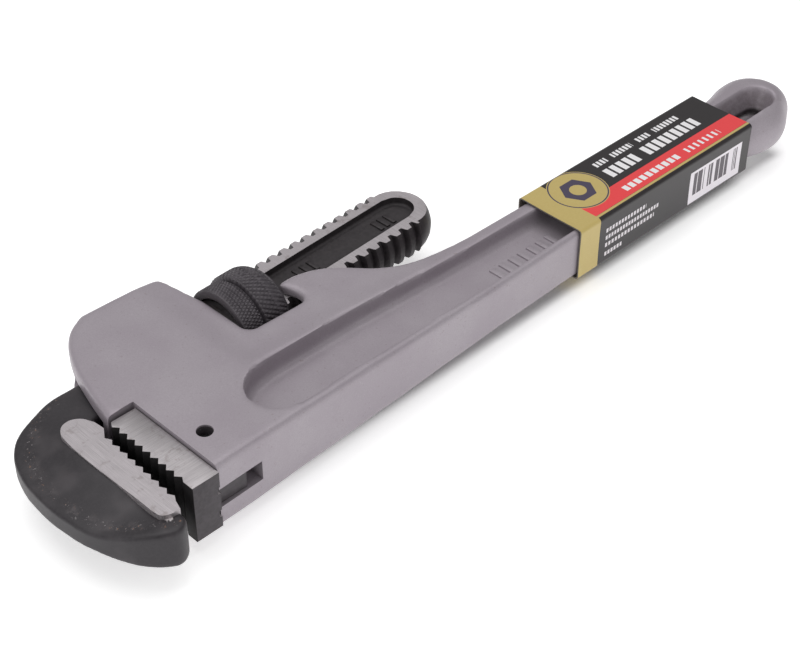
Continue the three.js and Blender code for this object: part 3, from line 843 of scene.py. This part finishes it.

# ---- The springs and pins ---------------------------------------------------------
# Bright spring steel: a leaf over the shank held by a pin, and a coil under it. The
# rolled pin through the heel jaw is toned near black, as painted shade in its hole.
# All but the rolled pin's ends are inside the head.


def spring_steel():
    material, shader = new_material("bright_spring_steel")
    place = millimetres()
    draw = grain(place, 1.4, 3.0, 0.6)
    colour = draw.smooth_step(0.3, 0.7).painted_over(srgb(128, 127, 130), srgb(160, 159, 162))
    fit_shader(shader, colour, draw * 0.2 + 0.28, draw, 0.00001, 0.3, Metallic=0.9)
    return material


bright = spring_steel()
pin_painted_shade = dark_steel("rolled_pin_painted_shade", srgb(40, 38, 40))
for node_name in ("flat_spring", "flat_spring_pin", "coil_spring", "heel_jaw_pin"):
    small_part = frame["nodes"][node_name]
    small_part.data.materials.clear()
    small_part.data.materials.append(pin_painted_shade if node_name == "heel_jaw_pin" else bright)

# ---- The card sleeve --------------------------------------------------------------
# Shop packaging: one strip of printed, varnished card folded round the grip and glued
# to itself at the back. Its panels bow a little. Its cut ends and inside show raw card,
# toned darker than bare card as painted shade.
SLEEVE_X = (157.6, 250.5)
SLEEVE_Y = (3.2, 31.0)
SLEEVE_Z = (-10.1, 10.0)
CARD = 0.5
FOLD = 1.4
PAST_FOLD = 1.6
sleeve = block("printed_sleeve", (SLEEVE_X[0], SLEEVE_Y[0], SLEEVE_Z[0]),
               (SLEEVE_X[1], SLEEVE_Y[1], SLEEVE_Z[1]))
pick(sleeve)
bpy.ops.object.mode_set(mode="EDIT")
bpy.ops.mesh.select_mode(type="FACE")
work = bmesh.from_edit_mesh(sleeve.data)
for face in work.faces:
    face.select_set(abs(face.normal.x) > 0.9)
bmesh.update_edit_mesh(sleeve.data)
bpy.ops.mesh.delete(type="ONLY_FACE")
bpy.ops.mesh.select_mode(type="EDGE")
bpy.ops.mesh.select_all(action="DESELECT")
work = bmesh.from_edit_mesh(sleeve.data)
for edge in work.edges:
    edge.select_set(abs(edge.verts[0].co.x - edge.verts[1].co.x) > 1)
bmesh.update_edit_mesh(sleeve.data)
bpy.ops.mesh.bevel(offset=FOLD, segments=6, affect="EDGES")


def cut_panels(direction, places):
    """Cuts the card across at the given places, so that its panels can bow."""
    for place in places:
        bpy.ops.mesh.select_all(action="SELECT")
        bpy.ops.mesh.bisect(plane_co=Vector(direction) * place, plane_no=direction)


cut_panels((1, 0, 0), [mix(*SLEEVE_X, cut / 28) for cut in range(1, 28)])
cut_panels((0, 1, 0), [
    mix(SLEEVE_Y[0] + PAST_FOLD, SLEEVE_Y[1] - PAST_FOLD, cut / 10) for cut in range(0, 11)])
cut_panels((0, 0, 1), [
    mix(SLEEVE_Z[0] + PAST_FOLD, SLEEVE_Z[1] - PAST_FOLD, cut / 7) for cut in range(0, 8)])
bpy.ops.object.mode_set(mode="OBJECT")
mend(sleeve)
for point in sleeve.data.vertices:
    x, y, z = point.co
    along = (x - SLEEVE_X[0]) / (SLEEVE_X[1] - SLEEVE_X[0])
    across = (y - SLEEVE_Y[0]) / (SLEEVE_Y[1] - SLEEVE_Y[0])
    upright = (z - SLEEVE_Z[0]) / (SLEEVE_Z[1] - SLEEVE_Z[0])
    if z > SLEEVE_Z[1] - 0.3:
        point.co.z -= 0.2 * math.sin(math.pi * across) * (0.6 + 0.4 * math.cos(5 * along))
    if y < SLEEVE_Y[0] + 0.3:
        point.co.y += 0.2 * math.sin(math.pi * upright) * (0.5 + 0.5 * math.sin(3 * along))


# Raw card for the sleeve's inside and cut ends, toned darker than bare card as painted shade.
def raw_card_painted_shade():
    material, shader = new_material("raw_card_painted_shade")
    place = millimetres()
    fibre = grain(place, 1.8, 4.0, 0.7)
    colour = fibre.painted_over(srgb(104, 98, 92), srgb(134, 127, 119))
    fit_shader(shader, colour, 0.85, fibre, 0.00002, 0.4)
    return material


PANEL_TOP = 8.2
GOLD_BAND_END = 167.5
RED_STRIPE = (5.6, 13.5)
GOLD_LINE = (4.5, 5.5)
BADGE_X = 175.0
BADGE_Y = 19.9
BADGE_RADIUS = 10.8
LABEL_X = (216.4, 245.8)
LABEL_Z = (-8.4, 4.9)
LABEL_BAR = 0.42


def printed_card():
    """Varnished print: gold band and badge, red stripe, and plain bars in place of words."""
    material, shader = new_material("printed_card")
    place = millimetres()
    u, v, w = layout_place(place)
    top = w > PANEL_TOP
    side = v < SLEEVE_Y[0] + 0.6

    fibre = grain(place, 1.2, 3.0, 0.6)
    black = fibre.painted_over(srgb(34, 29, 31), srgb(40, 35, 37))
    gold = fibre.painted_over(srgb(190, 168, 100), srgb(198, 178, 112))
    red = fibre.painted_over(srgb(232, 62, 66), srgb(238, 70, 74))
    white = srgb(240, 238, 240)
    ink = srgb(70, 62, 84)

    def strokes(period, width, start, end, low, high, height, across):
        """A line of plain upright bars: their pitch and width, its ends and its edges."""
        beat = Wire.node("ShaderNodeMath", {"operation": "FLOORED_MODULO"},
                         in_0=across - start, in_1=period)
        return (beat < width) * across.between(start, end) * height.between(low, high)

    colour = black
    stripe = top * v.between(*RED_STRIPE)
    colour = stripe.painted_over(colour, red)
    fold_line = top * v.between(*GOLD_LINE)
    colour = fold_line.painted_over(colour, gold)
    colour = (u < GOLD_BAND_END).painted_over(colour, gold)
    badge_u = u - BADGE_X
    badge_v = v - BADGE_Y
    badge = distance(badge_u, badge_v)
    colour = (top * (badge < BADGE_RADIUS)).painted_over(colour, gold)
    colour = (top * badge.between(10.0, 10.5)).painted_over(colour, ink)
    # The badge holds a plain hexagon nut.
    turned_u = badge_u * 0.87 + badge_v * 0.5
    turned_v = badge_v * 0.87 - badge_u * 0.5
    hexagon = turned_u.maths("ABSOLUTE").maths(
        "MAXIMUM", (turned_u * 0.5 + turned_v * 0.866).maths("ABSOLUTE")).maths(
        "MAXIMUM", (turned_u * 0.5 - turned_v * 0.866).maths("ABSOLUTE"))
    colour = (top * (hexagon < 5.6) * (badge > 3.0)).painted_over(colour, ink)

    words = strokes(1.75, 1.1, 190, 235.5, 24.0, 26.6, v, u) * (
        1 - u.between(196, 199)) * (1 - u.between(209.5, 212.5)) * (1 - u.between(219, 222))
    title = strokes(3.3, 2.3, 189.5, 238.5, 16.4, 21.6, v, u) * (1 - u.between(205, 209.2))
    series = strokes(3.0, 2.1, 186.5, 216.5, 7.8, 10.6, v, u) + strokes(
        2.6, 1.1, 220, 238.5, 7.8, 10.6, v, u)
    colour = (top * (words + title + series)).painted_over(colour, white)

    address = (
        strokes(1.6, 1.05, 171, 192, 2.6, 4.2, w, u)
        + strokes(1.5, 1.0, 171, 199, -0.4, 1.2, w, u)
        + strokes(1.7, 1.1, 171, 197, -3.4, -1.8, w, u)
        + strokes(1.6, 1.1, 171, 180, -7.0, -5.4, w, u)
    )
    colour = (side * address).painted_over(colour, srgb(222, 216, 220))
    label = side * u.between(*LABEL_X) * w.between(*LABEL_Z)
    colour = label.painted_over(colour, srgb(232, 226, 232))
    cell = (u / LABEL_BAR).maths("FLOOR")
    chance = Wire.node("ShaderNodeTexWhiteNoise", {"noise_dimensions": "1D"}, W=cell)
    bars = side * (chance > 0.52) * u.between(218.6, 243.4) * w.between(-5.4, 3.8)
    colour = bars.painted_over(colour, srgb(84, 76, 84))

    scuff = grain(place, 0.6, 4.0, 0.7).smooth_step(0.6, 0.8)
    fit_shader(shader, colour, scuff * 0.15 + 0.34, fibre, 0.00001, 0.25,
               Coat_Weight=0.15, Coat_Roughness=0.25, Specular_IOR_Level=0.35)
    return material


sleeve.data.materials.append(printed_card())
sleeve.data.materials.append(raw_card_painted_shade())
finish_with(sleeve, "SOLIDIFY", thickness=CARD, offset=-1, material_offset=1,
            material_offset_rim=1)
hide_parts("card_sleeve")
put_in_frame(sleeve, "sleeve", 40)

# ---- Floor, lights and camera -----------------------------------------------------
# A white sweep under three softboxes: above, at the left and in front.
FLOOR_GLOW = 0.45
SKY = 0.42
bpy.ops.mesh.primitive_plane_add(size=6, location=(0, 0, -0.0003))
floor = bpy.context.object
floor.name = "floor"


def white_floor():
    material, shader = new_material("white_floor")
    place = millimetres()
    cloud = grain(place, 0.01, 2.0)
    colour = cloud.painted_over(srgb(250, 250, 250), srgb(252, 252, 252))
    # The sweep glows as if lit from behind, apart from a painted shadow where the wrench covers
    # it.
    u, v = layout_place(place)[:2]
    grip_painted_shadow = u.smooth_step(4, 12) * (1 - u.smooth_step(272, 280)) * v.smooth_step(
        3, 8) * (1 - v.smooth_step(24, 30))
    head_painted_shadow = u.smooth_step(0, 8) * (1 - u.smooth_step(62, 70)) * v.smooth_step(
        3, 8) * (1 - v.smooth_step(66, 76))
    glow_with_painted_shadow = (1 - grip_painted_shadow.maths("MAXIMUM", head_painted_shadow)).painted_over(
        (0, 0, 0, 1), (1, 1, 1, 1))
    Wire.tree.links.new(glow_with_painted_shadow.socket, shader.inputs["Emission Color"])
    fit_shader(shader, colour, 0.8, Emission_Strength=FLOOR_GLOW)
    return material


floor.data.materials.append(white_floor())

world = bpy.data.worlds.new("studio")
bpy.context.scene.world = world
world.use_nodes = True
world.node_tree.nodes["Background"].inputs["Color"].default_value = (1, 1, 1, 1)
world.node_tree.nodes["Background"].inputs["Strength"].default_value = SKY


def softbox(name, where, size, power):
    bpy.ops.object.light_add(type="AREA", location=where)
    light = bpy.context.object
    light.name = name
    light.data.shape = "RECTANGLE"
    light.data.size, light.data.size_y = size
    light.data.energy = power
    light.rotation_euler = (-Vector(where)).to_track_quat("-Z", "Y").to_euler()


softbox("overhead", (0.10, 0.25, 1.1), (1.2, 1.0), 6)
softbox("left", (-1.0, 0.1, 0.6), (0.8, 0.8), 2.6)
softbox("front", (0.2, -1.1, 0.5), (1.0, 0.7), 1.6)

CAMERA_PLACE = (-208.32, -281.24, 343.30)
CAMERA_LENS = 78.0
CAMERA_TILT = 39.058
CAMERA_HEADING = 45.215
CAMERA_ROLL = 0.271
camera = bpy.data.objects.new("camera", bpy.data.cameras.new("camera"))
bpy.context.collection.objects.link(camera)
camera.location = layout_zero + Vector(CAMERA_PLACE) * MILLIMETRE
camera.rotation_mode = "QUATERNION"
camera.rotation_quaternion = (
    Quaternion((0, 0, 1), math.radians(CAMERA_HEADING - 90))
    @ Quaternion((1, 0, 0), math.radians(90 - CAMERA_TILT))
    @ Quaternion((0, 0, 1), math.radians(CAMERA_ROLL))
)
camera.data.lens = CAMERA_LENS
camera.data.sensor_width = 36.0
camera.data.clip_start = 0.01
camera.data.clip_end = 20
bpy.context.scene.camera = camera
bpy.context.scene.view_settings.view_transform = "Standard"
